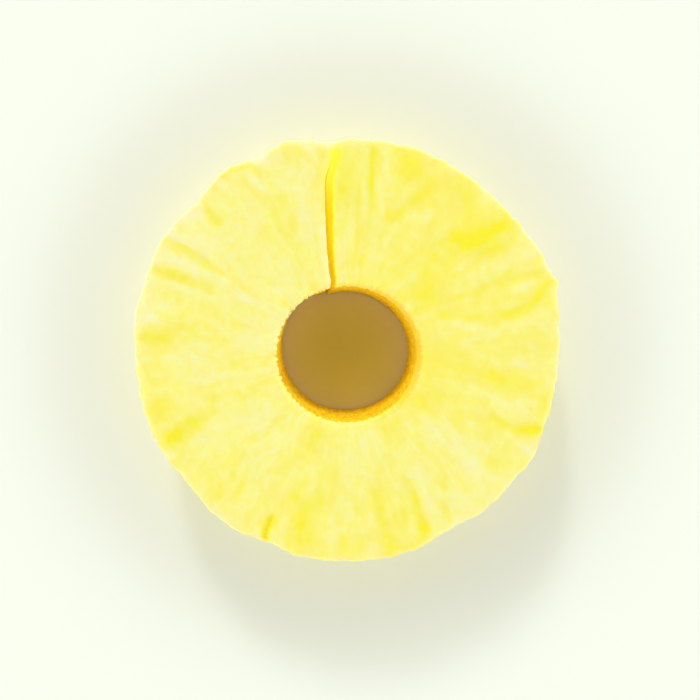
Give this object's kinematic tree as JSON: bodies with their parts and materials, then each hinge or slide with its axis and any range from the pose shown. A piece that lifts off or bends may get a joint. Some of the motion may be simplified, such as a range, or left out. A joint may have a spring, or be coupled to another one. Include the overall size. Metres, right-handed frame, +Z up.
{
  "type": "pineapple ring",
  "caption": "Thick round slice of peeled fresh pineapple with its core punched out and a knife slit from hole to rim, lying flat.",
  "frame": {"origin": "centre of the flat underside, in the middle of the ring's width and length, on the surface it lies on", "axes": "+Z up out of the cut top face, +Y from the hole towards the knife slit, +X to the slit's right seen from above"},
  "size_m": [0.0926, 0.092, 0.015],
  "materials": {
    "flesh": "wet, translucent yellow fruit flesh with pale fibres"
  },
  "bodies": {
    "root": {"pineapple_ring": "flesh"}
  },
  "joints": []
}
